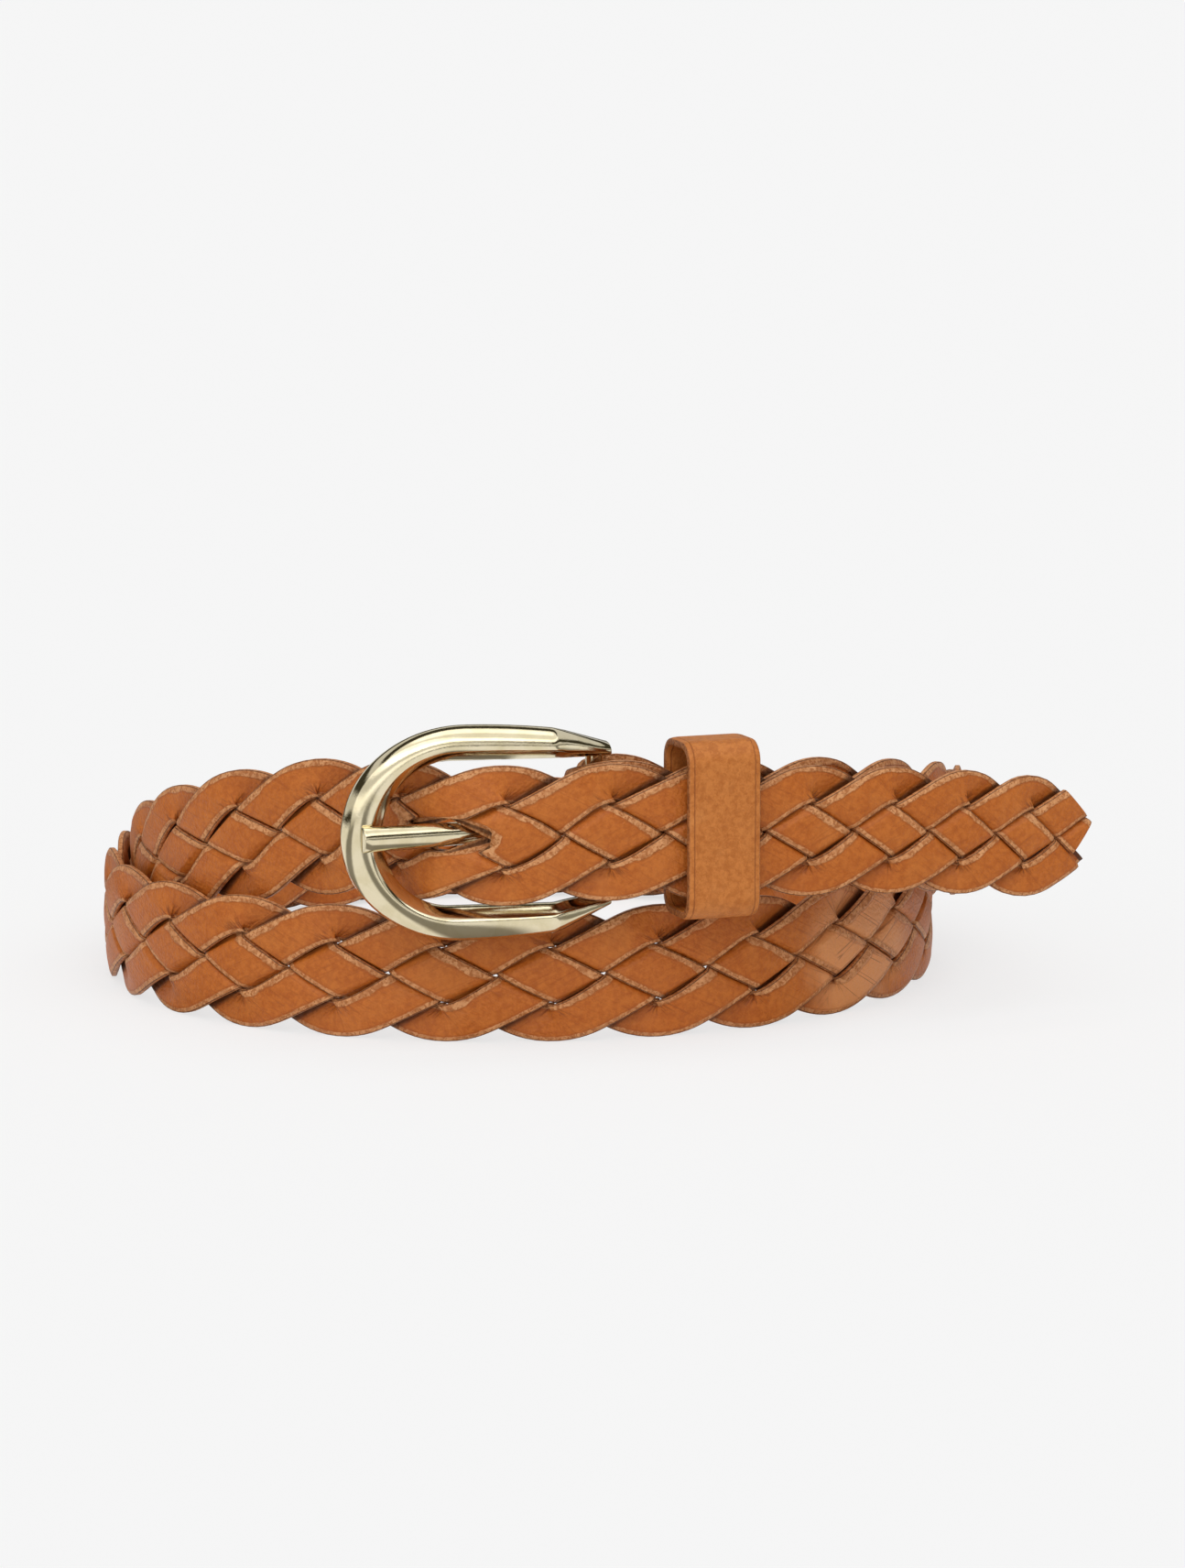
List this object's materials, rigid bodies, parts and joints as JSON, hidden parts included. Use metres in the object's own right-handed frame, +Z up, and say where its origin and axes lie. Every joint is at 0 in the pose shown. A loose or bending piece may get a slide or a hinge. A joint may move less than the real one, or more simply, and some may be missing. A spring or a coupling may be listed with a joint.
{
  "type": "braided leather belt",
  "caption": "Narrow flat-braided leather belt with a D-shaped metal buckle, prong and plain leather keeper, buckled and coiled in two turns standing on edge.",
  "frame": {"origin": "on the floor, on the axis of the coil", "axes": "+Z up along the coil's axis; -Y towards the front, where the buckle is; +X towards the belt's tip"},
  "size_m": [0.1831, 0.1702, 0.0583],
  "materials": {
    "strap_leather": "tan full-grain leather, matt to satin, with pale raw edges",
    "keeper_leather": "smooth tan leather, satin",
    "polished_metal": "polished pale gold plating",
    "staple_wire": "plain flat wire",
    "thread": "waxed brown thread"
  },
  "bodies": {
    "strap": {"strand_1": "strap_leather", "strand_2": "strap_leather", "strand_3": "strap_leather", "strand_4": "strap_leather", "fold_stitching": "thread"},
    "buckle": {"buckle_frame": "polished_metal", "buckle_bar": "polished_metal"},
    "prong_body": {"prong": "polished_metal"},
    "keeper": {"keeper_band": "keeper_leather", "keeper_staple": "staple_wire"}
  },
  "joints": [
    {"name": "buckle_tilt", "type": "hinge", "parent": "strap", "child": "buckle", "pos_m": [0.0148, -0.07135, 0.0391], "axis": [0, 0, 1], "range_deg": [-0.5, 0.8]},
    {"name": "prong_lift", "type": "hinge", "parent": "buckle", "child": "prong_body", "pos_m": [0.0148, -0.07135, 0.0391], "axis": [0, 0, 1], "range_deg": [0, 0.9]},
    {"name": "keeper_slide", "type": "hinge", "parent": "strap", "child": "keeper", "pos_m": [0.0076, 0.0027, 0.0391], "axis": [0, 0, 1], "range_deg": [-1.8, 1.2]}
  ]
}
